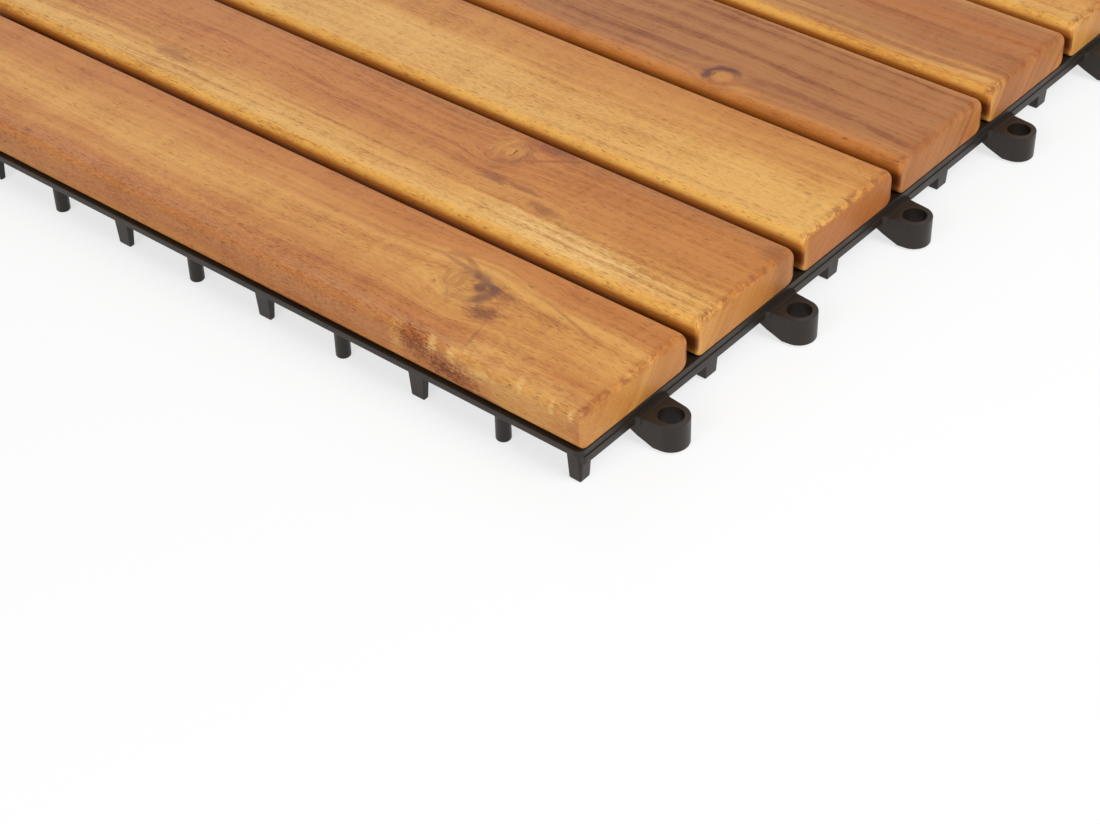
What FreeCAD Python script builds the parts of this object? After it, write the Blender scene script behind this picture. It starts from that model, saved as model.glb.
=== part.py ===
import FreeCAD, Part
import os
from math import asin, atan2, cos, hypot, pi, sin

# Interlocking deck tile: wooden slats screwed onto a moulded lattice base.
# Slats run along X. Lugs stand out at the +X and +Y sides, pegs hang under the -X and -Y sides.
# The origin is the centre of the whole footprint, lugs included, on the ground.

# Slats
slat_count = 6
slat_width = 46.4
slat_gap = 4.1
slat_thickness = 12.0
slat_top_radius = 2.6
slat_bottom_radius = 2.8
slat_end_radius = 2.2
slat_side_inset = 0.55
slat_end_inset = 0.6

# Base: one peg or lug for each module along a side
module_count = 5
base_height = 12.0
plate_thickness = 2.1
rim_depth = 4.7
rim_wall = 2.0
rim_step = 0.35
plate_corner_radius = 2.6

# Lattice of ribs below the plate, clear of the bays where the next tile's lugs go
rib_thickness = 2.0
ribs_per_module = 2
peg_bay_depth = 11.0

# Lugs: eyes that take the pegs of the next tile
lug_offset = 6.75
lug_radius = 5.5
lug_hole_radius = 3.7
lug_root_half_width = 6.3
lug_root_depth = 8.8
lug_ground_gap = 0.8
lug_top_clearance = 0.3
lug_sole_start = 5.0
collar_half_width = 7.0
collar_reach = 1.4
collar_taper = 0.6

# Pegs: round pins under the flange
peg_inset = 3.4
peg_radius = 2.25

# Legs: sizes at the ground, with every side leaning outward by the draft up to the plate
leg_draft = 0.5
tab_width = 4.6
tab_depth = 1.8
tab_inset = 1.8
rim_leg_width = 4.9
rim_leg_depth = 3.6
rim_leg_inset = 1.9
corner_leg_size = 3.9
corner_leg_inset = 1.6
corner_leg_chamfer = 0.7
inner_leg_size = 5.0

# Screws: driven up through the plate into the slats, one near each end of a slat.
# They are out of sight, so shanks, heads and their holes are many-sided rods.
screw_sides = 8
screw_inset = 21.0
screw_radius = 1.5
screw_head_radius = 3.2
screw_head_height = 1.9
screw_bite = 9.0
screw_hole_clearance = 0.15
pilot_clearance = 0.05

# Sizes that follow
slat_pitch = slat_width + slat_gap
tile_size = slat_pitch * slat_count - slat_gap + 2 * slat_side_inset
module_pitch = tile_size / module_count
lug_reach = lug_offset + lug_radius
low_edge = -(tile_size + lug_reach) / 2
high_edge = low_edge + tile_size
plate_bottom = base_height - plate_thickness
rib_bottom = base_height - rim_depth
lug_top = plate_bottom - lug_top_clearance
leg_lines = [low_edge + module_pitch * i for i in range(1, module_count)]
link_lines = [low_edge + module_pitch * (i + 0.5) for i in range(module_count)]
slat_starts = [low_edge + slat_side_inset + slat_pitch * i for i in range(slat_count)]
screw_columns = [low_edge + screw_inset, high_edge - screw_inset]
screw_places = [(x, start + slat_width / 2) for start in slat_starts for x in screw_columns]


def vec(x, y, z=0.0):
    return FreeCAD.Vector(x, y, z)


def block(x0, y0, z0, x1, y1, z1):
    return Part.makeBox(x1 - x0, y1 - y0, z1 - z0, vec(x0, y0, z0))


def prism(points, z0, z1):
    wire = Part.makePolygon([vec(x, y, z0) for x, y in points + points[:1]])
    return Part.Face(wire).extrude(vec(0, 0, z1 - z0))


def rod(radius, x, y, z0, z1):
    turns = [2 * pi * (i + 0.5) / screw_sides for i in range(screw_sides)]
    return prism([(x + radius * cos(turn), y + radius * sin(turn)) for turn in turns], z0, z1)


def edges_along(shape, axis):
    return [edge for edge in shape.Edges if abs(edge.tangentAt(edge.FirstParameter).dot(axis)) > 0.99]


def rounded_slab(low, high, z0, z1):
    slab = block(low, low, z0, high, high, z1)
    return slab.makeFillet(plate_corner_radius, edges_along(slab, vec(0, 0, 1)))


def swap(shape):
    # Mirror in the plane x = y, which carries each X side onto the Y side that matches it
    return shape.mirror(vec(0, 0, 0), vec(1, -1, 0))


def make_lattice():
    # Square cells between the wall behind the peg bays, the regular ribs and the rim wall.
    # Every cell but the outermost ones is open through the plate too.
    half = rib_thickness / 2
    bay_end = low_edge + peg_bay_depth
    pitch = module_pitch / ribs_per_module
    stops = [bay_end + half]
    stops += [low_edge + pitch * i for i in range(1, module_count * ribs_per_module)]
    stops.append(high_edge - rim_wall + half)
    pockets = []
    windows = []
    cells = [(start + half, end - half) for start, end in zip(stops, stops[1:])]
    for x0, x1 in cells:
        for y0, y1 in cells:
            pockets.append(block(x0, y0, rib_bottom, x1, y1, plate_bottom))
    for x0, x1 in cells[1:-1]:
        for y0, y1 in cells[1:-1]:
            windows.append(block(x0, y0, plate_bottom, x1, y1, base_height))
    plate = rounded_slab(low_edge, high_edge - rim_step, plate_bottom, base_height)
    ribs = rounded_slab(low_edge, high_edge, rib_bottom, plate_bottom)
    wall = block(high_edge - rim_wall, low_edge + corner_leg_inset, rib_bottom,
                 high_edge, high_edge, plate_bottom)
    kept = block(bay_end, bay_end, rib_bottom, high_edge, high_edge, plate_bottom)
    ribs = ribs.common(kept.fuse([wall, swap(wall)]))
    return plate.cut(Part.makeCompound(windows)).fuse(ribs.cut(Part.makeCompound(pockets)))


def make_lug():
    # Built at the origin: +X points out of the rim, and Z is already the height above ground
    slope = atan2(lug_root_half_width, lug_offset)
    slope -= asin(lug_radius / hypot(lug_offset, lug_root_half_width))
    touch_x = lug_offset + lug_radius * sin(slope)
    touch_y = lug_radius * cos(slope)
    outline = [vec(touch_x, touch_y), vec(0, lug_root_half_width),
               vec(-lug_root_depth, lug_root_half_width), vec(-lug_root_depth, -lug_root_half_width),
               vec(0, -lug_root_half_width), vec(touch_x, -touch_y)]
    nose = Part.Arc(outline[-1], vec(lug_reach, 0), outline[0]).toShape()
    plan = Part.Wire(Part.makePolygon(outline).Edges + [nose])
    body = Part.Face(plan).extrude(vec(0, 0, plate_bottom))

    # The sole slopes up from the eye to the underside of the lattice
    across = -2 * lug_radius
    beyond = lug_reach + lug_radius
    side = Part.makePolygon([vec(-lug_root_depth, across, rib_bottom),
                             vec(-lug_root_depth, across, plate_bottom),
                             vec(0, across, plate_bottom), vec(0, across, lug_top),
                             vec(beyond, across, lug_top), vec(beyond, across, lug_ground_gap),
                             vec(lug_sole_start, across, lug_ground_gap),
                             vec(-lug_root_depth, across, rib_bottom)])
    lug = body.common(Part.Face(side).extrude(vec(0, -2 * across, 0)))

    # Collar round the root, as high as the lower band of the rim
    narrow = collar_half_width - collar_taper
    inside = -rim_wall / 2
    collar = prism([(inside, -collar_half_width), (0, -collar_half_width), (collar_reach, -narrow),
                    (collar_reach, narrow), (0, collar_half_width), (inside, collar_half_width)],
                   rib_bottom, plate_bottom)
    return lug.fuse(collar)


def make_lug_hole():
    return Part.makeCylinder(lug_hole_radius, base_height, vec(lug_offset, 0, 0))


def make_peg():
    return Part.makeCylinder(peg_radius, plate_bottom)


def make_leg(x0, y0, x1, y1):
    half_x = (x1 - x0) / 2
    half_y = (y1 - y0) / 2
    wide_x = half_x + leg_draft
    wide_y = half_y + leg_draft
    leg = Part.makeWedge(-half_x, 0, -half_y, -wide_y, -wide_x,
                         half_x, plate_bottom, half_y, wide_y, wide_x)
    leg.rotate(vec(0, 0, 0), vec(1, 0, 0), 90)
    return leg.translated(vec(x0 + half_x, y0 + half_y))


def make_x_side_legs():
    # Tabs under the -X flange, and stouter legs behind the +X rim
    legs = []
    tab_start = low_edge + tab_inset
    leg_end = high_edge - rim_leg_inset
    for line in leg_lines:
        legs.append(make_leg(tab_start, line - tab_width / 2,
                             tab_start + tab_depth, line + tab_width / 2))
        legs.append(make_leg(leg_end - rim_leg_depth, line - rim_leg_width / 2,
                             leg_end, line + rim_leg_width / 2))
    return legs


def make_corner_leg():
    # Built for the +X +Y corner of a tile centred on the origin; the outermost edge is chamfered
    reach = tile_size / 2 - corner_leg_inset
    leg = make_leg(reach - corner_leg_size, reach - corner_leg_size, reach, reach)
    far = reach + leg_draft
    cut = far - corner_leg_chamfer - leg_draft
    return leg.cut(prism([(far, cut), (far, far), (cut, far)], 0, plate_bottom))


def make_inner_legs():
    half = inner_leg_size / 2
    return [make_leg(x - half, y - half, x + half, y + half) for x in leg_lines for y in leg_lines]


def make_base_tray():
    lug = make_lug()
    hole = make_lug_hole()
    peg = make_peg()
    added = make_inner_legs()
    holes = []
    for line in link_lines:
        for shape, x, group in ((lug, high_edge, added), (hole, high_edge, holes),
                                (peg, low_edge + peg_inset, added)):
            placed = shape.translated(vec(x, line))
            group += [placed, swap(placed)]
    for leg in make_x_side_legs():
        added += [leg, swap(leg)]
    middle = vec((low_edge + high_edge) / 2, (low_edge + high_edge) / 2)
    for quarter in range(4):
        leg = make_corner_leg()
        leg.rotate(vec(0, 0, 0), vec(0, 0, 1), 90 * quarter)
        added.append(leg.translated(middle))
    holes += [rod(screw_radius + screw_hole_clearance, x, y, plate_bottom, base_height)
              for x, y in screw_places]
    return make_lattice().fuse(added).cut(Part.makeCompound(holes)).removeSplitter()


def make_slat(start):
    # Cross-section with eased edges, extruded along X, then trimmed to rounded top ends
    x0 = low_edge + slat_end_inset
    x1 = high_edge - slat_end_inset
    top = base_height + slat_thickness
    middle = base_height + slat_thickness / 2
    slat = block(x0, start, base_height, x1, start + slat_width, top)
    upper = [edge for edge in edges_along(slat, vec(1, 0, 0)) if edge.CenterOfMass.z > middle]
    slat = slat.makeFillet(slat_top_radius, upper)
    lower = [edge for edge in edges_along(slat, vec(1, 0, 0))
             if abs(edge.CenterOfMass.z - base_height) < slat_bottom_radius / 2]
    slat = slat.makeFillet(slat_bottom_radius, lower)
    side = block(x0, start - slat_gap, base_height, x1, start + slat_pitch, top)
    ends = [edge for edge in edges_along(side, vec(0, 1, 0)) if edge.CenterOfMass.z > middle]
    slat = slat.common(side.makeFillet(slat_end_radius, ends))
    pilots = [rod(screw_radius + pilot_clearance, x, start + slat_width / 2,
                  base_height, base_height + screw_bite + pilot_clearance) for x in screw_columns]
    return slat.cut(Part.makeCompound(pilots))


def make_screws():
    # Pan heads seat against the underside of the plate
    screws = []
    for x, y in screw_places:
        head = rod(screw_head_radius, x, y, plate_bottom - screw_head_height, plate_bottom)
        shank = rod(screw_radius, x, y, plate_bottom, base_height + screw_bite)
        screws.append(head.fuse(shank))
    return Part.makeCompound(screws)


def export(name, shape):
    shape.exportStep(os.path.join("parts", name + ".step"))


os.makedirs("parts", exist_ok=True)
export("base_tray", make_base_tray())
for number, start in enumerate(slat_starts, start=1):
    export("slat_%d" % number, make_slat(start))
export("slat_screws", make_screws())
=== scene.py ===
import bmesh
import bpy
import math
from mathutils import Matrix, Vector, noise


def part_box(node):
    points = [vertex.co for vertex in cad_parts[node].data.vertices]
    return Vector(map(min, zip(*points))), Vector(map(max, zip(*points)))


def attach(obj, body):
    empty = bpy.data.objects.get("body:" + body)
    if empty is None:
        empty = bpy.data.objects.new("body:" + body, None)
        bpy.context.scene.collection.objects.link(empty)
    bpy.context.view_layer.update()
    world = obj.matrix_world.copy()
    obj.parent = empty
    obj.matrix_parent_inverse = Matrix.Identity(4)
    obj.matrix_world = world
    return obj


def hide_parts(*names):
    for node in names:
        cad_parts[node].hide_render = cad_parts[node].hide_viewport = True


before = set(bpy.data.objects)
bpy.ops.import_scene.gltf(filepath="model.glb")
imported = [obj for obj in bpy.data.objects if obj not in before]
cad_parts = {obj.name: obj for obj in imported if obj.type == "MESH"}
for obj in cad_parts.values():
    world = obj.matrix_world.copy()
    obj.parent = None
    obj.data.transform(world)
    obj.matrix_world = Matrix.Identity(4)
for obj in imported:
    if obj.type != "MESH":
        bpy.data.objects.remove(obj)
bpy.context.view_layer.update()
scene = bpy.context.scene
mm = 0.001


# Small helpers for meshes and shader nodes

def newPiece(name, mesh):
    piece = bpy.data.objects.new(name, mesh)
    scene.collection.objects.link(piece)
    return piece


def srgb(red, green, blue):
    # Colours are written as 0-255 screen values
    def linear(value):
        value = value / 255
        return value / 12.92 if value <= 0.04045 else ((value + 0.055) / 1.055) ** 2.4
    return (linear(red), linear(green), linear(blue), 1.0)


def setSocket(tree, socket, value):
    if isinstance(value, bpy.types.NodeSocket):
        tree.links.new(value, socket)
    else:
        socket.default_value = value


def addNode(tree, kind, inputs=None, **settings):
    node = tree.nodes.new("ShaderNode" + kind)
    for name, value in settings.items():
        setattr(node, name, value)
    for key, value in (inputs or {}).items():
        setSocket(tree, node.inputs[key], value)
    return node


def maths(tree, operation, *values):
    return addNode(tree, "Math", dict(enumerate(values)), operation=operation).outputs[0]


def times(tree, first, *others):
    for value in others:
        first = maths(tree, "MULTIPLY", first, value)
    return first


def swing(tree, value, amount):
    # Lets a 0 to 1 value swing evenly round zero
    return times(tree, maths(tree, "SUBTRACT", value, 0.5), amount)


def vectorMaths(tree, operation, *values):
    node = addNode(tree, "VectorMath", dict(enumerate(values)), operation=operation)
    return node.outputs["Value" if operation in ("LENGTH", "DOT_PRODUCT") else "Vector"]


def rangeOf(tree, value, low, high, toLow=0.0, toHigh=1.0, smooth=True):
    node = addNode(tree, "MapRange", {"Value": value, "From Min": low, "From Max": high,
                                      "To Min": toLow, "To Max": toHigh},
                   interpolation_type="SMOOTHSTEP" if smooth else "LINEAR")
    return node.outputs["Result"]


def noiseOf(tree, point, scales, seed, detail=2.0, roughness=0.5, colour=False, scale=1.0, shift=0):
    # The shift gives each effect of one board its own pattern
    if shift:
        seed = maths(tree, "ADD", seed, shift)
    stretched = vectorMaths(tree, "MULTIPLY", point, scales)
    node = addNode(tree, "TexNoise", {"Vector": stretched, "W": seed, "Scale": scale,
                                      "Detail": detail, "Roughness": roughness},
                   noise_dimensions="4D")
    return node.outputs["Color" if colour else "Fac"]


def blendColour(tree, amount, colourA, colourB, mode="MIX"):
    node = addNode(tree, "Mix", {"Factor": amount}, data_type="RGBA", blend_type=mode)
    sockets = [socket for socket in node.inputs if socket.type == "RGBA"]
    for socket, value in zip(sockets, (colourA, colourB)):
        setSocket(tree, socket, value)
    return [socket for socket in node.outputs if socket.type == "RGBA"][0]


def rampOf(tree, value, stops):
    node = addNode(tree, "ValToRGB", {"Fac": value})
    ramp = node.color_ramp
    while len(ramp.elements) < len(stops):
        ramp.elements.new(0.5)
    for element, (place, colour) in zip(ramp.elements, stops):
        element.position = place
        element.color = colour
    return node.outputs["Color"]


def newGroup(name, takes, gives):
    group = bpy.data.node_groups.new(name, "ShaderNodeTree")
    for label, kind in takes:
        group.interface.new_socket(label, in_out="INPUT", socket_type="NodeSocket" + kind)
    for label, kind in gives:
        group.interface.new_socket(label, in_out="OUTPUT", socket_type="NodeSocket" + kind)
    start = group.nodes.new("NodeGroupInput")
    end = group.nodes.new("NodeGroupOutput")
    return group, start.outputs, end.inputs


def giveOut(group, gives, values):
    for name, value in values.items():
        group.links.new(value, gives[name])


def useGroup(tree, group, inputs):
    return addNode(tree, "Group", inputs, node_tree=group).outputs


def newMaterial(name):
    material = bpy.data.materials.new(name)
    material.use_nodes = True
    tree = material.node_tree
    tree.nodes.clear()
    shader = addNode(tree, "BsdfPrincipled")
    addNode(tree, "OutputMaterial", {"Surface": shader.outputs[0]})
    return material, tree, shader.inputs


def joinRings(bm, rings):
    for ringA, ringB in zip(rings, rings[1:]):
        for i in range(len(ringA)):
            j = (i + 1) % len(ringA)
            bm.faces.new((ringA[i], ringA[j], ringB[j], ringB[i]))


def closeMesh(bm, mesh, material, sharpAngle):
    bmesh.ops.recalc_face_normals(bm, faces=bm.faces)
    bm.to_mesh(mesh)
    bm.free()
    mesh.materials.clear()
    mesh.materials.append(material)
    mesh.shade_smooth()
    mesh.set_sharp_from_angle(angle=math.radians(sharpAngle))


# Camera, at the photograph's corner view

cameraFacts = dict(place=(0.4414, -0.5156, 0.4071), heading=130.572, down=39.186,
                   roll=-1.558, lens=76.45, sensor=36.0, clip=(0.01, 50))


def makeCamera(facts):
    camera = bpy.data.objects.new("camera", bpy.data.cameras.new("camera"))
    scene.collection.objects.link(camera)
    camera.data.lens = facts["lens"]
    camera.data.sensor_width = facts["sensor"]
    camera.data.clip_start, camera.data.clip_end = facts["clip"]
    turn = (Matrix.Rotation(math.radians(facts["heading"] - 90), 4, "Z")
            @ Matrix.Rotation(math.radians(90 - facts["down"]), 4, "X")
            @ Matrix.Rotation(math.radians(facts["roll"]), 4, "Z"))
    camera.matrix_world = Matrix.Translation(facts["place"]) @ turn
    scene.camera = camera


makeCamera(cameraFacts)
print("camera placed")


# Studio: a white floor, an even sky and three soft lamps

studio = dict(floorSize=6.0, floorBounce=0.8, shadowDepth=0.3, skyLevel=0.26,
              lamps=(dict(name="keyLamp", place=(1.25, -0.1, 1.25), size=1.2, power=19.5),
                     dict(name="frontLamp", place=(0.3, -1.7, 1.0), size=1.0, power=13.0),
                     dict(name="backLamp", place=(-1.4, 1.0, 1.4), size=1.2, power=5.5)))


def directRays(tree):
    # 1 where the surface is seen by the camera, in a reflection or through glass
    path = addNode(tree, "LightPath").outputs
    seen = maths(tree, "MAXIMUM", path["Is Camera Ray"], path["Is Glossy Ray"])
    return maths(tree, "MAXIMUM", seen, path["Is Transmission Ray"])


def makeStudio(facts):
    half = facts["floorSize"] / 2
    mesh = bpy.data.meshes.new("floor")
    mesh.from_pydata([(-half, -half, 0), (half, -half, 0), (half, half, 0), (-half, half, 0)],
                     [], [(0, 1, 2, 3)])
    floor = newPiece("floor", mesh)
    material = bpy.data.materials.new("whiteFloor")
    material.use_nodes = True
    tree = material.node_tree
    tree.nodes.clear()
    white = (1, 1, 1, 1)
    bounce = addNode(tree, "BsdfDiffuse", {"Color": (facts["floorBounce"],) * 3 + (1,)})
    lit = addNode(tree, "BsdfDiffuse", {"Color": white})
    glow = addNode(tree, "Emission", {"Color": white, "Strength": 1.0})
    seen = addNode(tree, "MixShader", {0: facts["shadowDepth"], 1: glow.outputs[0],
                                       2: lit.outputs[0]})
    mixed = addNode(tree, "MixShader", {0: directRays(tree), 1: bounce.outputs[0],
                                        2: seen.outputs[0]})
    addNode(tree, "OutputMaterial", {"Surface": mixed.outputs[0]})
    mesh.materials.append(material)

    world = bpy.data.worlds.new("sky")
    world.use_nodes = True
    tree = world.node_tree
    tree.nodes.clear()
    strength = rangeOf(tree, directRays(tree), 0, 1, facts["skyLevel"], 1.0, smooth=False)
    sky = addNode(tree, "Background", {"Color": white, "Strength": strength})
    addNode(tree, "OutputWorld", {"Surface": sky.outputs[0]})
    scene.world = world

    for lamp in facts["lamps"]:
        light = bpy.data.lights.new(lamp["name"], "AREA")
        light.shape = "DISK"
        light.size = lamp["size"]
        light.energy = lamp["power"]
        holder = bpy.data.objects.new(lamp["name"], light)
        scene.collection.objects.link(holder)
        holder.location = lamp["place"]
        holder.rotation_euler = (-Vector(lamp["place"])).to_track_quat("-Z", "Y").to_euler()


makeStudio(studio)
scene.view_settings.view_transform = "Standard"
print("studio lit")


# Wood effects shared by the six boards. A board's own point is (mm from its +X end,
# mm from its front edge, mm below its top face), and its flow is the across value bent
# by the grain, so that every face of the board shows the same tree.

flowLook = dict(depthCurve=0.022, slowScales=(0.0062, 0.016, 0.03),
                fineScales=(0.045, 0.10, 0.10), fineDetail=3.0, fineWander=2.6)


def makeFlowGroup(look):
    group, takes, gives = newGroup("grainFlow", [
        ("Point", "Vector"), ("Slant", "Float"), ("Wander", "Float"), ("Seed", "Float")],
        [("Flow", "Float")])
    across, depth = addNode(group, "SeparateXYZ", {0: takes["Point"]}).outputs[1:]
    flow = maths(group, "MULTIPLY_ADD", depth, takes["Slant"], across)
    flow = maths(group, "ADD", flow, times(group, depth, depth, look["depthCurve"]))
    slow = noiseOf(group, takes["Point"], look["slowScales"], takes["Seed"])
    fine = noiseOf(group, takes["Point"], look["fineScales"], takes["Seed"], look["fineDetail"])
    bend = maths(group, "ADD", swing(group, slow, takes["Wander"]),
                 swing(group, fine, look["fineWander"]))
    giveOut(group, gives, {"Flow": maths(group, "ADD", flow, bend)})
    return group


# Distances from a knot's centre are counted in its own sizes, 1 at its edge
knotLook = dict(wobbleScales=(0.16, 0.2, 0.1), wobbleSeed=3.0, wobble=(0.8, 0.8, 0),
                pushFall=-0.45, inside=(1.1, 0.75), rimPlace=0.84, rimWidth=0.24,
                rimLean=(-0.5, 0.8), rimLeast=0.15, core=(0.4, 0.1), halo=(1.9, 0.5))


def makeKnotGroup(look):
    # A branch through the board: the flow parts round it and turns to rings inside it
    group, takes, gives = newGroup("knot", [
        ("Point", "Vector"), ("Flow", "Float"), ("Centre", "Vector"), ("Size", "Vector"),
        ("Spread", "Float"), ("Tone", "Float"), ("Rings", "Float"), ("Shade", "Vector")],
        [("Flow", "Float"), ("Rim", "Float"), ("Core", "Float"), ("Halo", "Float")])
    wobble = noiseOf(group, takes["Point"], look["wobbleScales"], look["wobbleSeed"], colour=True)
    wobble = vectorMaths(group, "SUBTRACT", wobble, (0.5, 0.5, 0.5))
    wobble = vectorMaths(group, "MULTIPLY", wobble, look["wobble"])
    near = vectorMaths(group, "SUBTRACT", takes["Point"], takes["Centre"])
    near = vectorMaths(group, "DIVIDE", near, takes["Size"])
    near = vectorMaths(group, "ADD", near, wobble)
    reach = vectorMaths(group, "LENGTH", near)
    side = addNode(group, "SeparateXYZ", {0: near}).outputs[1]
    fall = maths(group, "EXPONENT", times(group, reach, reach, look["pushFall"]))
    outer = maths(group, "SUBTRACT", takes["Flow"], times(group, side, fall, takes["Spread"]))
    inner = maths(group, "MULTIPLY_ADD", reach, takes["Rings"], takes["Tone"])
    inside = rangeOf(group, reach, *look["inside"])
    outside = maths(group, "SUBTRACT", 1, inside)
    rim = maths(group, "DIVIDE", maths(group, "SUBTRACT", reach, look["rimPlace"]),
                look["rimWidth"])
    rim = maths(group, "EXPONENT", times(group, rim, rim, -1))
    lean = vectorMaths(group, "DOT_PRODUCT", vectorMaths(group, "NORMALIZE", near), takes["Shade"])
    giveOut(group, gives, {
        "Flow": maths(group, "ADD", times(group, outer, outside), times(group, inner, inside)),
        "Rim": times(group, rim, rangeOf(group, lean, *look["rimLean"], look["rimLeast"])),
        "Core": rangeOf(group, reach, *look["core"]),
        "Halo": rangeOf(group, reach, *look["halo"])})
    return group


def grainPlaces(tree, point, flow):
    # The grain as a sheet that is the same at any depth, and as threads through the wood
    parts = addNode(tree, "SeparateXYZ", {0: point}).outputs
    sheet = addNode(tree, "CombineXYZ", {0: flow, 1: parts["X"], 2: 0.0}).outputs[0]
    thread = addNode(tree, "CombineXYZ", {0: parts["X"], 1: flow, 2: parts["Z"]}).outputs[0]
    return sheet, thread


grainLook = dict(detail=3.0, bandScales=(0.24, 0.0065, 0), bandBreak=26.0, ringsAlong=0.006,
                 streakScales=(1.7, 0.03, 0), bunchScales=(0.11, 0.014, 0),
                 bunchRange=(0.38, 0.62, 0.25, 1.3), fuzzScales=(0.42, 2.1, 2.1),
                 fuzzDetail=4.0, fuzzRoughness=0.7, fuzzShade=0.85,
                 cloudScales=(0.02, 0.06, 0.06), cloudShade=0.5,
                 shimmerScales=(0.16, 0.03, 0.03), shimmerShade=0.3)


def makeGrainGroup(look):
    # Light and dark grain at several scales, and a flow for colour bands with broken borders
    group, takes, gives = newGroup("grain", [
        ("Point", "Vector"), ("Flow", "Float"), ("Ring Scale", "Float"), ("Ring Shade", "Float"),
        ("Streak Shade", "Float"), ("Seed", "Float")],
        [("Bands", "Float"), ("Shade", "Float"), ("Fuzz", "Float"), ("Streaks", "Float")])
    point, seed, detail = takes["Point"], takes["Seed"], look["detail"]
    sheet, thread = grainPlaces(group, point, takes["Flow"])
    ringScales = addNode(group, "CombineXYZ", {0: takes["Ring Scale"], 1: look["ringsAlong"]})
    broken = noiseOf(group, sheet, look["bandScales"], seed, detail)
    rings = noiseOf(group, sheet, ringScales.outputs[0], seed, detail, shift=1)
    streaks = noiseOf(group, sheet, look["streakScales"], seed, detail, shift=2)
    bunches = rangeOf(group, noiseOf(group, sheet, look["bunchScales"], seed, shift=8),
                      *look["bunchRange"])
    fuzz = noiseOf(group, thread, look["fuzzScales"], seed, look["fuzzDetail"],
                   look["fuzzRoughness"], shift=3)
    cloud = noiseOf(group, point, look["cloudScales"], seed, detail, shift=4)
    shimmer = noiseOf(group, point, look["shimmerScales"], seed, shift=5)
    shade = swing(group, rings, takes["Ring Shade"])
    for value, amount in ((streaks, times(group, bunches, takes["Streak Shade"])),
                          (fuzz, look["fuzzShade"]), (cloud, look["cloudShade"]),
                          (shimmer, look["shimmerShade"])):
        shade = maths(group, "ADD", shade, swing(group, value, amount))
    bands = maths(group, "ADD", takes["Flow"], swing(group, broken, look["bandBreak"]))
    giveOut(group, gives, {"Bands": bands, "Shade": shade, "Fuzz": fuzz, "Streaks": streaks})
    return group


markLook = dict(frayScales=(0.22, 0.55, 0.55), frayDetail=6.0, frayRoughness=0.72,
                fade=(1.1, 0.3))


def makeMarkGroup(look):
    # A soft ragged patch, turned in the plane of the top face
    group, takes, gives = newGroup("mark", [
        ("Point", "Vector"), ("Centre", "Vector"), ("Size", "Vector"), ("Turn", "Float"),
        ("Ragged", "Float"), ("Fineness", "Float"), ("Seed", "Float")], [("Mask", "Float")])
    frayed = noiseOf(group, takes["Point"], look["frayScales"], takes["Seed"],
                     look["frayDetail"], look["frayRoughness"], scale=takes["Fineness"])
    near = vectorMaths(group, "SUBTRACT", takes["Point"], takes["Centre"])
    near = addNode(group, "VectorRotate", {"Vector": near, "Angle": takes["Turn"]},
                   rotation_type="Z_AXIS").outputs[0]
    reach = vectorMaths(group, "LENGTH", vectorMaths(group, "DIVIDE", near, takes["Size"]))
    reach = maths(group, "ADD", reach, swing(group, frayed, takes["Ragged"]))
    giveOut(group, gives, {"Mask": rangeOf(group, reach, *look["fade"])})
    return group


# Pairs are the distances in mm at which a mask starts and is full
# The front reach and glow make a painted highlight on the front edge of a board
edgeLook = dict(endFace=(0.6, 0.05), highlightReach=(4.0, 0.8), frontHighlight=0.5,
                arrisEnd=(3.6, 1.2), arrisDepth=(2.6, 0.6), arrisOil=0.9,
                speckScales=(0.3, 0.32, 0.5), speckDetail=6.0, speckRoughness=0.75,
                speckRange=(0.42, 0.60),
                # Painted shade on sides facing a neighbour: lighter tone high, darker deeper, gone
                # near the underside
                side=(1.6, 0.2), gapShadeFade=(11.0, 7.5), gapShade=0.9,
                upperGapShade=(0.9, 3.0), lowerGapShade=(2.8, 5.6))


def makeEdgeGroup(look):
    # Masks of the sawn ends, a painted highlight on the front edge of a board with a gap in front,
    # the specks of oil on the ends' top edge, and painted shade on the long sides that face a
    # neighbour
    group, takes, gives = newGroup("boardEdges", [
        ("Point", "Vector"), ("Length", "Float"), ("Width", "Float"), ("Front Gap", "Float"),
        ("Back Gap", "Float"), ("Seed", "Float")],
        [("End Face", "Float"), ("Front Highlight", "Float"), ("Arris", "Float"),
         ("Upper Gap Shade", "Float"), ("Lower Gap Shade", "Float")])
    along, across, depth = addNode(group, "SeparateXYZ", {0: takes["Point"]}).outputs
    end = maths(group, "MINIMUM", along, maths(group, "SUBTRACT", takes["Length"], along))
    behind = maths(group, "SUBTRACT", takes["Width"], across)
    speck = noiseOf(group, takes["Point"], look["speckScales"], takes["Seed"],
                    look["speckDetail"], look["speckRoughness"], shift=6)
    arris = times(group, rangeOf(group, end, *look["arrisEnd"]),
                  rangeOf(group, depth, *look["arrisDepth"]))
    # Painted shade on the long sides that face a gap
    front = times(group, rangeOf(group, across, *look["side"]), takes["Front Gap"])
    back = times(group, rangeOf(group, behind, *look["side"]), takes["Back Gap"])
    sides = times(group, maths(group, "MAXIMUM", front, back),
                  rangeOf(group, depth, *look["gapShadeFade"], 0.0, look["gapShade"]))
    glow = times(group, rangeOf(group, across, *look["highlightReach"]), takes["Front Gap"])
    giveOut(group, gives, {
        "End Face": rangeOf(group, end, *look["endFace"]),
        "Front Highlight": times(group, glow, look["frontHighlight"]),
        "Arris": times(group, arris, rangeOf(group, speck, *look["speckRange"]), look["arrisOil"]),
        "Upper Gap Shade": times(group, sides, rangeOf(group, depth, *look["upperGapShade"])),
        "Lower Gap Shade": times(group, sides, rangeOf(group, depth, *look["lowerGapShade"]))})
    return group


poreLook = dict(kinds=(((0.20, 2.4, 2.4), 0.34), ((0.33, 3.4, 3.4), 0.33)), core=0.4,
                crowdScales=(0.16, 0.012, 0), crowdRange=(0.35, 0.6, 0.35, 1.0),
                frontReach=(14, 2))


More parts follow.
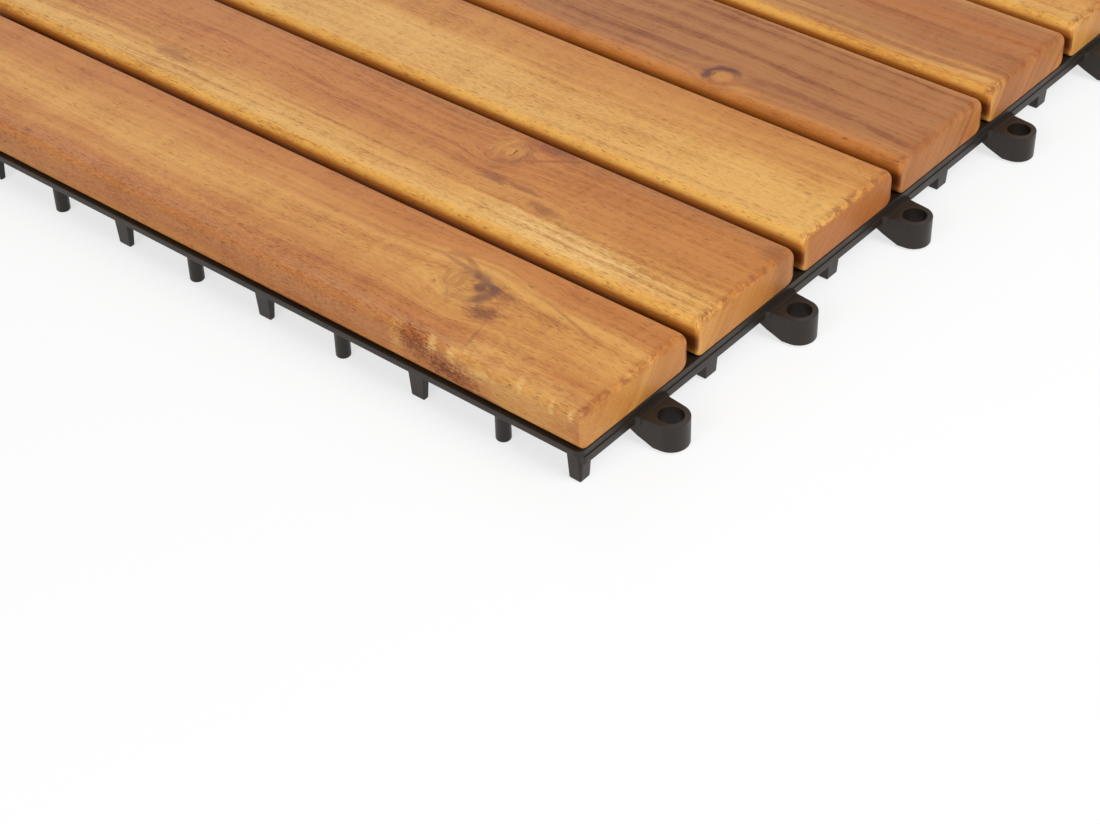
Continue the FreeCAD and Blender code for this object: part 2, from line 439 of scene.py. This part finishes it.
def makePoreGroup(look):
    # Open pores: short dark dashes along the flow, dots where a face cuts across it
    group, takes, gives = newGroup("pores", [
        ("Point", "Vector"), ("Flow", "Float"), ("Amount", "Float"), ("Front Amount", "Float"),
        ("Seed", "Float")], [("Pores", "Float")])
    sheet, thread = grainPlaces(group, takes["Point"], takes["Flow"])
    crowd = noiseOf(group, sheet, look["crowdScales"], takes["Seed"], shift=7)
    amount = times(group, rangeOf(group, crowd, *look["crowdRange"]), takes["Amount"])
    front = rangeOf(group, takes["Flow"], *look["frontReach"], 0.0, takes["Front Amount"])
    amount = maths(group, "ADD", amount, front)
    spots = []
    for scales, size in look["kinds"]:
        stretched = vectorMaths(group, "MULTIPLY", thread, scales)
        cells = addNode(group, "TexVoronoi", {"Vector": stretched, "W": takes["Seed"],
                                              "Scale": 1.0, "Randomness": 1.0},
                        voronoi_dimensions="4D", feature="F1").outputs
        chance = addNode(group, "SeparateColor", {0: cells["Color"]}).outputs[0]
        spot = rangeOf(group, cells["Distance"], size, size * look["core"])
        spots.append(times(group, spot, maths(group, "LESS_THAN", chance, amount)))
    giveOut(group, gives, {"Pores": maths(group, "MAXIMUM", *spots)})
    return group


flowGroup = makeFlowGroup(flowLook)
knotGroup = makeKnotGroup(knotLook)
grainGroup = makeGrainGroup(grainLook)
markGroup = makeMarkGroup(markLook)
edgeGroup = makeEdgeGroup(edgeLook)
poreGroup = makePoreGroup(poreLook)

# Oiled acacia, from pale sapwood to dark heart lines, with tones for a painted highlight
# on front edges and for painted shade down the sides in the gaps
acacia = dict(pale=srgb(246, 204, 132), highlightAmber=srgb(240, 180, 80), honey=srgb(231, 178, 100),
              gold=srgb(220, 161, 85), tan=srgb(209, 146, 75), copper=srgb(199, 130, 65),
              clay=srgb(197, 134, 80), gapShadeRust=srgb(194, 114, 42), red=srgb(186, 115, 58),
              umber=srgb(177, 117, 67), brown=srgb(154, 92, 50), russet=srgb(158, 84, 38),
              burl=srgb(112, 52, 20), gapShadeEmber=srgb(104, 46, 10), plum=srgb(104, 58, 46),
              dark=srgb(86, 47, 28))

woodLook = dict(roughness=0.44, roughSwing=0.3, poreRoughness=0.2, specular=0.22, relief=0.03,
                poreDepth=0.05, poreShade=0.7, endCalm=0.7, zoneSpan=(-20, 70), throughWood=60,
                markDepth=40,
                shadeStops=((0.18, (0.52, 0.34, 0.23, 1)), (0.42, (0.86, 0.76, 0.65, 1)),
                            (0.60, (0.98, 0.96, 0.93, 1)), (0.85, (1.04, 1.05, 1.06, 1))))


def zoneColours(tree, bands, zones, span):
    # The zones are given in mm across, and the ramp takes 0 to 1
    low, high = span
    stops = [((place - low) / (high - low), acacia[tone]) for place, tone in zones]
    return rampOf(tree, rangeOf(tree, bands, low, high, smooth=False), stops)


def stain(tree, colour, mask, tone):
    return blendColour(tree, mask, colour, acacia[tone])


def makeWood(board, low, high, look):
    # Masks and colours are laid over each other from the broad bands down to the pores
    material, tree, skin = newMaterial("oiledAcacia%d" % board["number"])
    point = addNode(tree, "TexCoord").outputs["Object"]
    point = vectorMaths(tree, "MULTIPLY", point, (-1 / mm, 1 / mm, -1 / mm))
    point = vectorMaths(tree, "ADD", point, (high.x / mm, -low.y / mm, high.z / mm))
    common = {"Point": point, "Seed": board["seed"]}
    flow = useGroup(tree, flowGroup, {**common, "Slant": board["slant"],
                                      "Wander": board["wander"]})["Flow"]
    rims, halos = [], []
    for knot in board["knots"]:
        made = useGroup(tree, knotGroup, {
            "Point": point, "Flow": flow, "Centre": (*knot["centre"], 0),
            "Size": (*knot["size"], look["throughWood"]), "Spread": knot["spread"],
            "Tone": knot["tone"], "Rings": knot["rings"], "Shade": (*knot["shade"], 0)})
        flow = made["Flow"]
        rims.append(times(tree, made["Rim"], knot["dark"]))
        rims.append(times(tree, made["Core"], knot["core"]))
        halos.append(times(tree, made["Halo"], knot["halo"]))
    grain = useGroup(tree, grainGroup, {
        **common, "Flow": flow, "Ring Scale": board["ringScale"],
        "Ring Shade": board["ringShade"], "Streak Shade": board["streakShade"]})
    edges = useGroup(tree, edgeGroup, {
        **common, "Length": (high.x - low.x) / mm, "Width": (high.y - low.y) / mm,
        "Front Gap": float(board["number"] > 1), "Back Gap": float(board["number"] < len(boards))})
    pores = useGroup(tree, poreGroup, {**common, "Flow": flow, "Amount": board["pores"],
                                       "Front Amount": board["edgePores"]})["Pores"]

    # Bands, ends, knots' halos, marks, and a painted highlight on the front edge
    colour = zoneColours(tree, grain["Bands"], board["zones"], look["zoneSpan"])
    endTone, endAmount = board["endTone"]
    colour = stain(tree, colour, times(tree, edges["End Face"], endAmount), endTone)
    for halo in halos:
        colour = stain(tree, colour, halo, "red")
    for mark in board["marks"]:  # centre and size without a depth go through from the top
        mask = useGroup(tree, markGroup, {
            **common, "Centre": (*mark["centre"], 0)[:3],
            "Size": (*mark["size"], look["markDepth"])[:3],
            "Turn": math.radians(mark.get("turn", 0)), "Ragged": mark["ragged"],
            "Fineness": mark.get("fineness", 1.0)})["Mask"]
        colour = stain(tree, colour, times(tree, mask, mark["amount"]), mark["colour"])
    # Painted highlight on the front edge, where a gap lies in front
    colour = stain(tree, colour, edges["Front Highlight"], board["highlightTone"])

    # Light and dark grain, calmer on sawn ends; then knot rims, oil specks, painted gap shade,
    # pores
    calm = rangeOf(tree, edges["End Face"], 0, 1, 1.0, look["endCalm"])
    shade = maths(tree, "MULTIPLY_ADD", grain["Shade"], calm, 0.5)
    colour = blendColour(tree, 1.0, colour, rampOf(tree, shade, look["shadeStops"]), "MULTIPLY")
    for rim in rims:
        colour = stain(tree, colour, rim, "plum")
    # Oil specks on the ends' top edge, then painted shade down the sides that face a gap
    for mask, tone in (("Arris", "brown"), ("Upper Gap Shade", "gapShadeRust"), ("Lower Gap Shade", "gapShadeEmber")):
        colour = stain(tree, colour, edges[mask], tone)
    colour = stain(tree, colour, times(tree, pores, look["poreShade"]), "dark")
    tree.links.new(colour, skin["Base Color"])

    height = times(tree, maths(tree, "ADD", grain["Fuzz"], grain["Streaks"]), look["relief"])
    height = maths(tree, "SUBTRACT", height, times(tree, pores, look["poreDepth"]))
    bump = addNode(tree, "Bump", {"Strength": 1.0, "Distance": mm, "Height": height})
    tree.links.new(bump.outputs[0], skin["Normal"])
    rough = maths(tree, "ADD", look["roughness"], swing(tree, grain["Fuzz"], look["roughSwing"]))
    rough = maths(tree, "MULTIPLY_ADD", pores, look["poreRoughness"], rough)
    tree.links.new(rough, skin["Roughness"])
    skin["Specular IOR Level"].default_value = look["specular"]
    return material


# Boards: rounded lengthwise, softer at the ends, sanded a little unevenly

boardShape = dict(topRadius=2.6, bottomRadius=2.8, endRadius=2.2, cornerRadius=0.7,
                  endBottomRadius=0.35, arcSteps=7, topSteps=16, bottomSteps=8,
                  endStations=(0, 0.03, 0.1, 0.2, 0.35, 0.55, 0.85, 1.2, 1.65, 2.2),
                  stationStep=4.0, sanding=0.07, sandingWaves=(22, 9, 9), sideZone=1.0,
                  edgeSanding=0.35, edgeWave=30, sharpAngle=40)

# Zones are (mm across, tone). Knots and marks are placed in mm along, across and, where it
# matters, down. Their sizes are half lengths in mm, and their turns are in degrees.
# A board's edge tone is the colour of a painted highlight on its front edge
boards = [
    dict(number=1, seed=1.3, slant=0.55, wander=13.0, ringScale=0.28, ringShade=0.7,
         streakShade=0.3, pores=0.45, edgePores=0.6, endTone=("tan", 0.55), highlightTone="copper",
         zones=((-14, "clay"), (0, "clay"), (8, "copper"), (13, "tan"), (20, "gold"),
                (29, "gold"), (36, "copper"), (52, "copper")),
         knots=[dict(centre=(61, 25.5), size=(8.5, 6.8), spread=7.0, tone=24, rings=4,
                     shade=(-0.8, 0.6), dark=0.7, core=0.0, halo=0.0)],
         marks=[dict(centre=(18, 2), size=(24, 8), turn=6, ragged=1.8, amount=0.6, colour="honey"),
                dict(centre=(67, 23), size=(13, 7), ragged=1.6, amount=0.55, colour="honey"),
                dict(centre=(38, 5), size=(10, 5), turn=20, ragged=2.8, amount=0.55,
                     colour="honey"),
                dict(centre=(32, 10), size=(17, 7), turn=-4, ragged=1.8, amount=0.5,
                     colour="honey"),
                dict(centre=(150, 1, 1), size=(62, 7, 8), ragged=13, amount=0.35,
                     colour="russet", fineness=3.6),
                dict(centre=(65, 1), size=(3, 3), turn=-30, ragged=1.6, amount=0.5, colour="honey"),
                dict(centre=(70, 32.6), size=(9, 1.2), turn=-5, ragged=0.9, amount=0.6,
                     colour="brown"),
                dict(centre=(27.5, 30.5), size=(15, 0.8), turn=-15, ragged=0.9, amount=0.5,
                     colour="brown"),
                dict(centre=(73, 35.8), size=(5, 1.5), turn=10, ragged=1.2, amount=0.45,
                     colour="brown"),
                dict(centre=(67, 34.6), size=(5, 1.4), turn=-20, ragged=1.0, amount=0.6,
                     colour="brown"),
                dict(centre=(61.8, 31.4), size=(4, 1.5), turn=-40, ragged=1.0, amount=0.65,
                     colour="brown"),
                dict(centre=(51.5, 28.5), size=(7, 3.2), turn=-8, ragged=2.6, amount=0.6,
                     colour="brown"),
                dict(centre=(57.6, 27.6), size=(2.6, 3.6), turn=25, ragged=1.2, amount=0.8,
                     colour="plum"),
                dict(centre=(53.5, 29), size=(3.6, 1.6), turn=-10, ragged=2.0, amount=0.5,
                     colour="plum"),
                dict(centre=(49, 18.8), size=(6.8, 5.0), turn=15, ragged=2.8, amount=0.5,
                     colour="russet", fineness=1.3),
                dict(centre=(49, 18.6), size=(5, 3.4), turn=15, ragged=4.0, amount=0.55,
                     colour="plum", fineness=1.6),
                dict(centre=(54, 22.6), size=(3, 2.4), turn=60, ragged=1.6, amount=0.4,
                     colour="plum"),
                dict(centre=(44.6, 9.5), size=(0.8, 6.5), turn=12, ragged=1.0, amount=0.5,
                     colour="brown"),
                dict(centre=(60.5, 1, 1.5), size=(6, 4, 4), ragged=4.4, amount=0.6,
                     colour="russet", fineness=2.2),
                dict(centre=(56.5, 0, 4.5), size=(5, 4, 4), ragged=4.4, amount=0.55,
                     colour="russet", fineness=2.2),
                dict(centre=(58.5, 0, 2.8), size=(4.6, 3.4, 3.4), ragged=10, amount=0.65,
                     colour="burl", fineness=3.6),
                dict(centre=(49.5, 0, 5.5), size=(5, 5, 3.4), ragged=4.4, amount=0.6,
                     colour="russet", fineness=2.2),
                dict(centre=(41, 0, 8.5), size=(8, 5, 3), ragged=4.4, amount=0.6,
                     colour="russet", fineness=2.2),
                dict(centre=(46, 0, 6.8), size=(7.4, 3.4, 3), ragged=10, amount=0.75,
                     colour="burl", fineness=3.6),
                dict(centre=(33, 0, 10.5), size=(7, 4, 1.4), ragged=2.0, amount=0.5, colour="plum"),
                # The marks from here on lie on the rounded front edge: the wood's figure with a
                # painted highlight in it
                dict(centre=(52, 0.6, 1), size=(1.8, 3.4, 3), turn=35, ragged=2.6, amount=0.5,
                     colour="pale", fineness=1.6),
                dict(centre=(45.5, 0.6, 1.6), size=(2.2, 3.2, 2.4), turn=35, ragged=2.6, amount=0.5,
                     colour="pale", fineness=1.6),
                dict(centre=(37, 0.8, 2.2), size=(8, 2.6, 2.6), ragged=2.0, amount=0.6,
                     colour="honey"),
                dict(centre=(34, 0.8, 3), size=(6, 1.6, 1.6), ragged=2.8, amount=0.5,
                     colour="pale", fineness=1.6),
                dict(centre=(21.5, 1.5, 1), size=(1.2, 3.4, 3), turn=24, ragged=2.2, amount=0.45,
                     colour="pale", fineness=1.6),
                dict(centre=(10, 0.3, 1.5), size=(1.2, 3.2, 3), turn=15, ragged=2.4, amount=0.45,
                     colour="pale", fineness=1.6),
                dict(centre=(3.4, 0.5, 1.5), size=(1.4, 1.8, 2), ragged=2.0, amount=0.5,
                     colour="pale", fineness=1.6)]),
    dict(number=2, seed=4.1, slant=0.5, wander=9.0, ringScale=0.36, ringShade=1.0,
         streakShade=0.5, pores=0.9, edgePores=0.5, endTone=("tan", 0.5), highlightTone="highlightAmber",
         zones=((-14, "honey"), (1, "honey"), (8, "honey"), (12, "gold"), (17, "tan"),
                (25, "copper"), (38, "copper"), (52, "umber")),
         knots=[dict(centre=(96, 35), size=(7, 7), spread=7.0, tone=33, rings=1.4,
                     shade=(-0.9, -0.3), dark=0.3, core=0.0, halo=0.0)],
         marks=[dict(centre=(219, 12), size=(12, 3.4), turn=-6, ragged=1.6, amount=0.55,
                     colour="brown"),
                dict(centre=(98, 36), size=(8, 6), ragged=2.4, amount=0.7, colour="gold"),
                dict(centre=(50, 8), size=(38, 7), turn=-2, ragged=1.8, amount=0.8, colour="pale"),
                dict(centre=(87, 43.5), size=(12, 4.6), ragged=2.2, amount=0.7,
                     colour="russet", fineness=1.3),
                dict(centre=(85, 44), size=(7, 3), ragged=5.0, amount=0.45,
                     colour="plum", fineness=2.2),
                dict(centre=(82, 38.5), size=(12, 1.0), turn=36, ragged=1.2, amount=0.65,
                     colour="brown"),
                dict(centre=(90, 21), size=(8, 2.6), ragged=2.2, amount=0.8, colour="brown"),
                dict(centre=(79, 21.5), size=(8, 1.4), ragged=1.8, amount=0.8, colour="brown"),
                dict(centre=(69, 17), size=(10, 2.4), turn=-8, ragged=2.2, amount=0.65,
                     colour="brown"),
                dict(centre=(94, 25.5), size=(3.6, 1.5), turn=40, ragged=1.4, amount=0.5,
                     colour="brown"),
                dict(centre=(3, 40), size=(6, 5), ragged=1.5, amount=0.35, colour="plum")]),
    dict(number=3, seed=7.7, slant=0.6, wander=12.0, ringScale=0.3, ringShade=0.55,
         streakShade=0.3, pores=0.65, edgePores=0.3, endTone=("red", 0.9), highlightTone="highlightAmber",
         zones=((-14, "honey"), (1, "honey"), (8, "honey"), (20, "honey"), (27, "gold"),
                (34, "tan"), (52, "copper")),
         knots=[], marks=[]),
    dict(number=4, seed=10.2, slant=0.5, wander=12.0, ringScale=0.42, ringShade=1.4,
         streakShade=0.4, pores=0.35, edgePores=0.25, endTone=("copper", 0.4), highlightTone="copper",
         zones=((-14, "copper"), (1, "copper"), (4, "umber"), (9, "umber"), (20, "umber"),
                (30, "umber"), (40, "umber"), (52, "copper")),
         knots=[dict(centre=(71.4, 7.5), size=(5.9, 5.6), spread=6.5, tone=4, rings=3,
                     shade=(0.7, 0.7), dark=1.0, core=0.0, halo=0.35)],
         marks=[dict(centre=(71.2, 7.3), size=(3.8, 3.4), ragged=1.0, amount=0.7, colour="tan"),
                dict(centre=(75.8, 5.4), size=(2.0, 3.0), ragged=1.0, amount=0.8, colour="plum"),
                dict(centre=(72, 12.2), size=(5.5, 1.3), ragged=1.2, amount=0.5, colour="plum"),
                dict(centre=(60, 11.5), size=(6, 3), ragged=2.2, amount=0.7, colour="brown"),
                dict(centre=(50, 12.8), size=(13, 2.2), ragged=1.8, amount=0.9, colour="brown"),
                dict(centre=(33, 12), size=(16, 2.0), turn=-2, ragged=1.8, amount=0.95,
                     colour="brown"),
                dict(centre=(13, 10), size=(14, 1.9), turn=-9, ragged=1.8, amount=0.95,
                     colour="brown"),
                dict(centre=(96, 13.7), size=(26, 2.0), ragged=1.6, amount=0.95, colour="brown"),
                dict(centre=(62, 4.5), size=(7, 1.6), turn=8, ragged=1.8, amount=0.6,
                     colour="tan")]),
    dict(number=5, seed=13.9, slant=0.6, wander=11.0, ringScale=0.24, ringShade=1.5,
         streakShade=0.4, pores=0.4, edgePores=0.3, endTone=("copper", 0.4), highlightTone="highlightAmber",
         zones=((-14, "gold"), (2, "gold"), (6.5, "gold"), (10.5, "umber"), (20, "umber"),
                (30, "red"), (40, "umber"), (52, "tan")),
         knots=[], marks=[]),
    dict(number=6, seed=16.4, slant=0.45, wander=13.0, ringScale=0.32, ringShade=0.8,
         streakShade=0.4, pores=0.6, edgePores=0.35, endTone=("tan", 0.4), highlightTone="highlightAmber",
         zones=((-14, "honey"), (4, "honey"), (14, "gold"), (24, "tan"), (34, "copper"),
                (44, "gold"), (52, "honey")),
         knots=[dict(centre=(190, 26), size=(8, 5), spread=6.0, tone=20, rings=4,
                     shade=(-0.4, 0.9), dark=0.8, core=0.2, halo=0.2)],
         marks=[]),
]


def roundOff(distance, radius):
    # How far a rounded edge has dropped at a distance from the end of the board
    if distance >= radius:
        return 0.0
    return radius - math.sqrt(radius ** 2 - (radius - distance) ** 2)


def boardStations(length, shape):
    # Places of the cross-sections in mm, close together at the rounded ends
    near = list(shape["endStations"])
    count = round((length - 2 * near[-1]) / shape["stationStep"])
    step = (length - 2 * near[-1]) / count
    middle = [near[-1] + step * i for i in range(1, count)]
    return near + middle + [length - place for place in reversed(near)]


def boardRing(width, height, top, bottom, shape):
    # One cross-section as (across, up) points, from the bottom centre round and back
    turns = [math.pi / 2 * i / shape["arcSteps"] for i in range(shape["arcSteps"] + 1)]
    below = shape["bottomSteps"] // 2
    above = shape["topSteps"] // 2
    half = [((width / 2 - bottom) * i / below, 0) for i in range(below)]
    half += [(width / 2 - bottom + bottom * math.sin(turn), bottom - bottom * math.cos(turn))
             for turn in turns]
    half += [(width / 2 - top + top * math.cos(turn), height - top + top * math.sin(turn))
             for turn in turns]
    half += [((width / 2 - top) * (1 - i / above), height) for i in range(1, above)]
    mirrored = [(-across, up) for across, up in half]
    return half + [(0, height)] + mirrored[:0:-1]


def sandedOff(seed, spot, depth):
    # Between nothing and the depth, changing slowly from spot to spot
    return depth * (0.5 + 0.5 * noise.noise(seed + Vector(spot)))


def makeBoard(board, shape):
    node = "slat_%d" % board["number"]
    low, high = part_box(node)
    size = (high - low) / mm
    middle = (low.y + high.y) / 2
    seed = Vector((board["seed"] * 7, board["number"] * 13, 0))
    waves = shape["sandingWaves"]
    bm = bmesh.new()
    rings = []
    for place in boardStations(size.x, shape):
        end = min(place, size.x - place)
        width = size.y - 2 * roundOff(end, shape["cornerRadius"])
        lift = roundOff(end, shape["endBottomRadius"])
        height = size.z - roundOff(end, shape["endRadius"]) - lift
        worn = sandedOff(seed, (place / shape["edgeWave"], 0, 0), shape["edgeSanding"])
        outline = boardRing(width, height, shape["topRadius"] + worn, shape["bottomRadius"], shape)
        ring = []
        for across, up in outline:
            dip = 0.0
            if up > height / 2:
                spot = (place / waves[0], across / waves[1], up / waves[2])
                dip = sandedOff(seed, spot, shape["sanding"])
            if abs(across) > width / 2 - shape["sideZone"]:
                across -= math.copysign(dip, across)
            ring.append(bm.verts.new((low.x + place * mm, middle + across * mm,
                                      low.z + (lift + up - dip) * mm)))
        rings.append(ring)
    joinRings(bm, rings)
    bm.faces.new(rings[0])
    bm.faces.new(rings[-1][::-1])
    name = "board_%d" % board["number"]
    mesh = bpy.data.meshes.new(name)
    closeMesh(bm, mesh, makeWood(board, low, high, woodLook), shape["sharpAngle"])
    piece = newPiece(name, mesh)
    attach(piece, "root")
    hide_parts(node)


for board in boards:
    makeBoard(board, boardShape)
print("boards made")


# Finish effect shared by the plastic and the steel: faint clouds in colour and gloss

mottleLook = dict(detail=3.0, glossRange=(0.3, 0.7))


def makeMottleGroup(look):
    group, takes, gives = newGroup("mottle", [
        ("Point", "Vector"), ("Scales", "Vector"), ("Seed", "Float"), ("Smoothest", "Float"),
        ("Roughest", "Float")], [("Clouds", "Float"), ("Roughness", "Float")])
    clouds = noiseOf(group, takes["Point"], takes["Scales"], takes["Seed"], look["detail"])
    giveOut(group, gives, {"Clouds": clouds, "Roughness": rangeOf(
        group, clouds, *look["glossRange"], takes["Smoothest"], takes["Roughest"])})
    return group


mottleGroup = makeMottleGroup(mottleLook)


def makeMottled(name, facts):
    # The plastic has a fine moulded skin too, and the steel has none
    material, tree, skin = newMaterial(name)
    point = addNode(tree, "TexCoord").outputs["Object"]
    point = vectorMaths(tree, "MULTIPLY", point, (1 / mm, 1 / mm, 1 / mm))
    mottle = useGroup(tree, mottleGroup, {
        "Point": point, "Scales": (facts["mottleScale"],) * 3, "Seed": facts["seed"],
        "Smoothest": facts["smoothest"], "Roughest": facts["roughest"]})
    tree.links.new(blendColour(tree, mottle["Clouds"], facts["colour"], facts["shade"]),
                   skin["Base Color"])
    tree.links.new(mottle["Roughness"], skin["Roughness"])
    skin["Metallic"].default_value = facts["metallic"]
    skin["Specular IOR Level"].default_value = facts["specular"]
    if facts["skinDepth"]:
        fine = noiseOf(tree, point, (facts["skinScale"],) * 3, facts["skinSeed"],
                       facts["skinDetail"])
        height = times(tree, fine, facts["skinDepth"])
        bump = addNode(tree, "Bump", {"Strength": 1.0, "Distance": mm, "Height": height})
        tree.links.new(bump.outputs[0], skin["Normal"])
    return material


# Base: black moulded plastic with softened edges and flared peg roots

base = dict(colour=srgb(42, 33, 26), shade=srgb(32, 25, 19), mottleScale=0.09, seed=2.0,
            smoothest=0.34, roughest=0.46, metallic=0.0, specular=0.36,
            skinDepth=0.010, skinScale=3.0, skinDetail=3.0, skinSeed=5.0,
            footRadius=0.7, footSteps=4, footZone=0.05, edgeRadius=0.2, edgeSteps=2,
            sharpAngle=30.0, weldDistance=0.002, flatAngle=0.5,
            pegInset=3.4, pegRadius=2.25, pegCore=1.85, pegSides=32, pegsPerSide=5,
            lugReach=12.25, plateBottom=9.9,
            flare=((0.0, -1.9), (0.06, -1.2), (0.2, -0.7), (0.45, -0.3), (0.85, 0.0)))


def addRevolved(bm, profile, x, y, sides):
    # Turns (radius, height) points round a vertical line
    turns = [2 * math.pi * i / sides for i in range(sides)]
    rings = [[bm.verts.new((x + radius * math.cos(turn), y + radius * math.sin(turn), z))
              for turn in turns] for radius, z in profile]
    joinRings(bm, rings)
    return rings


def addPegFlares(bm, facts):
    # A closed collar round each peg, where it runs into the underside of the rim
    low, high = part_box("base_tray")
    pitch = (high.x - low.x - facts["lugReach"] * mm) / facts["pegsPerSide"]
    top = low.z + facts["plateBottom"] * mm
    inset = low.x + facts["pegInset"] * mm
    profile = [((facts["pegRadius"] + out) * mm, top + down * mm) for out, down in facts["flare"]]
    inside = facts["pegCore"] * mm
    profile = [(inside, profile[0][1])] + profile + [(inside, top)]
    for peg in range(facts["pegsPerSide"]):
        along = low.x + pitch * (peg + 0.5)
        for x, y in ((along, inset), (inset, along)):
            rings = addRevolved(bm, profile, x, y, facts["pegSides"])
            joinRings(bm, [rings[-1], rings[0]])


def makeBase(facts):
    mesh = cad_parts["base_tray"].data.copy()
    mesh.name = "moulded_base"
    if mesh.has_custom_normals:  # they belong to the unsoftened edges
        mesh.attributes.remove(mesh.attributes["custom_normal"])
    bm = bmesh.new()
    bm.from_mesh(mesh)
    bmesh.ops.remove_doubles(bm, verts=bm.verts, dist=facts["weldDistance"] * mm)
    bmesh.ops.dissolve_limit(bm, angle_limit=math.radians(facts["flatAngle"]), verts=bm.verts,
                             edges=bm.edges)
    footTop = min(vert.co.z for vert in bm.verts) + facts["footZone"] * mm
    sharpest = math.radians(facts["sharpAngle"])
    for radius, steps, top in ((facts["footRadius"], facts["footSteps"], footTop),
                               (facts["edgeRadius"], facts["edgeSteps"], math.inf)):
        sharp = [edge for edge in bm.edges
                 if edge.is_convex and edge.calc_face_angle() > sharpest
                 and max(vert.co.z for vert in edge.verts) < top]
        bmesh.ops.bevel(bm, geom=sharp, offset=radius * mm, offset_type="OFFSET",
                        segments=steps, profile=0.5, affect="EDGES")
    addPegFlares(bm, facts)
    closeMesh(bm, mesh, makeMottled("blackPlastic", facts), facts["sharpAngle"])
    piece = newPiece("moulded_base", mesh)
    flat = piece.modifiers.new("flatFaces", "WEIGHTED_NORMAL")
    flat.keep_sharp = True
    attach(piece, "root")
    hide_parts("base_tray")


makeBase(base)
print("base made")


# Screws: pan heads with a cross recess, and a thread that bites into the boards

screw = dict(colour=srgb(178, 176, 172), shade=srgb(146, 144, 142), mottleScale=0.8, seed=1.0,
             smoothest=0.25, roughest=0.38, metallic=1.0, specular=0.5, skinDepth=0.0,
             inset=20.4, headRadius=3.2, headHeight=1.9, faceRadius=2.0, sides=24,
             domeSteps=6, domeShare=0.55,
             crossLength=1.75, crossWidth=0.42, crossDepth=1.25, crossTaper=0.55,
             coreRadius=1.1, threadRadius=1.5, threadPitch=1.3, threadSteps=6, ridgeStart=0.45,
             shankSides=12, tipLength=3.0, tipShare=0.12, sharpAngle=35)


def crossOutline(length, width):
    arm = [(width, width), (width, length), (-width, length)]
    points = []
    for quarter in range(4):
        turn = math.pi / 2 * quarter
        for x, y in arm:
            points.append((x * math.cos(turn) - y * math.sin(turn),
                           x * math.sin(turn) + y * math.cos(turn)))
    return points


def addScrewHead(bm, x, y, z, facts):
    # The face looks down: dome, then a flat ring filled up to the tapered cross
    height, face = facts["headHeight"], facts["faceRadius"]
    dome = [(facts["headRadius"], height)]
    for i in range(facts["domeSteps"] + 1):
        turn = math.pi / 2 * i / facts["domeSteps"]
        dome.append((face + (facts["headRadius"] - face) * math.cos(turn),
                     height * facts["domeShare"] * (1 - math.sin(turn))))
    rings = addRevolved(bm, [(radius * mm, z + up * mm) for radius, up in dome], x, y,
                        facts["sides"])
    bm.faces.new(rings[0])
    crosses = []
    for depth, taper in ((0, 1.0), (facts["crossDepth"], facts["crossTaper"])):
        outline = crossOutline(facts["crossLength"] * taper, facts["crossWidth"] * taper)
        crosses.append([bm.verts.new((x + across * mm, y + up * mm, z + depth * mm))
                        for across, up in outline])
    joinRings(bm, crosses)
    bm.faces.new(crosses[1])
    rim = [bm.edges.get((ring[i], ring[(i + 1) % len(ring)]))
           for ring in (rings[-1], crosses[0]) for i in range(len(ring))]
    bmesh.ops.triangle_fill(bm, edges=rim, use_beauty=True)


def addScrewShank(bm, x, y, low, high, facts):
    # The thread's ridge winds up the core, which narrows to a point
    pitch = facts["threadPitch"] * mm
    sides, start, tip = facts["shankSides"], facts["ridgeStart"], facts["tipShare"]
    count = int((high - low) / (pitch / facts["threadSteps"]))
    rings = []
    for level in range(count + 1):
        z = low + (high - low) * level / count
        point = min(1.0, (high - z) / (facts["tipLength"] * mm))
        ring = []
        for i in range(sides):
            ridge = abs((z / pitch - i / sides) % 1.0 - 0.5) * 2
            ridge = max(0.0, ridge - start) / (1 - start)
            radius = facts["coreRadius"] + (facts["threadRadius"] - facts["coreRadius"]) * ridge
            radius *= mm * (tip + (1 - tip) * math.sqrt(point))
            turn = 2 * math.pi * i / sides
            ring.append(bm.verts.new((x + radius * math.cos(turn), y + radius * math.sin(turn), z)))
        rings.append(ring)
    joinRings(bm, rings)
    bm.faces.new(rings[0][::-1])
    bm.faces.new(rings[-1])


def makeScrews(facts):
    low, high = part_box("slat_screws")
    bm = bmesh.new()
    for board in boards:
        start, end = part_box("slat_%d" % board["number"])
        y = (start.y + end.y) / 2
        for x in (start.x + facts["inset"] * mm, end.x - facts["inset"] * mm):
            addScrewHead(bm, x, y, low.z, facts)
            addScrewShank(bm, x, y, low.z + facts["headHeight"] * mm, high.z, facts)
    mesh = bpy.data.meshes.new("pan_head_screws")
    closeMesh(bm, mesh, makeMottled("screwSteel", facts), facts["sharpAngle"])
    piece = newPiece("pan_head_screws", mesh)
    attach(piece, "root")
    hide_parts("slat_screws")


makeScrews(screw)
print("screws made")
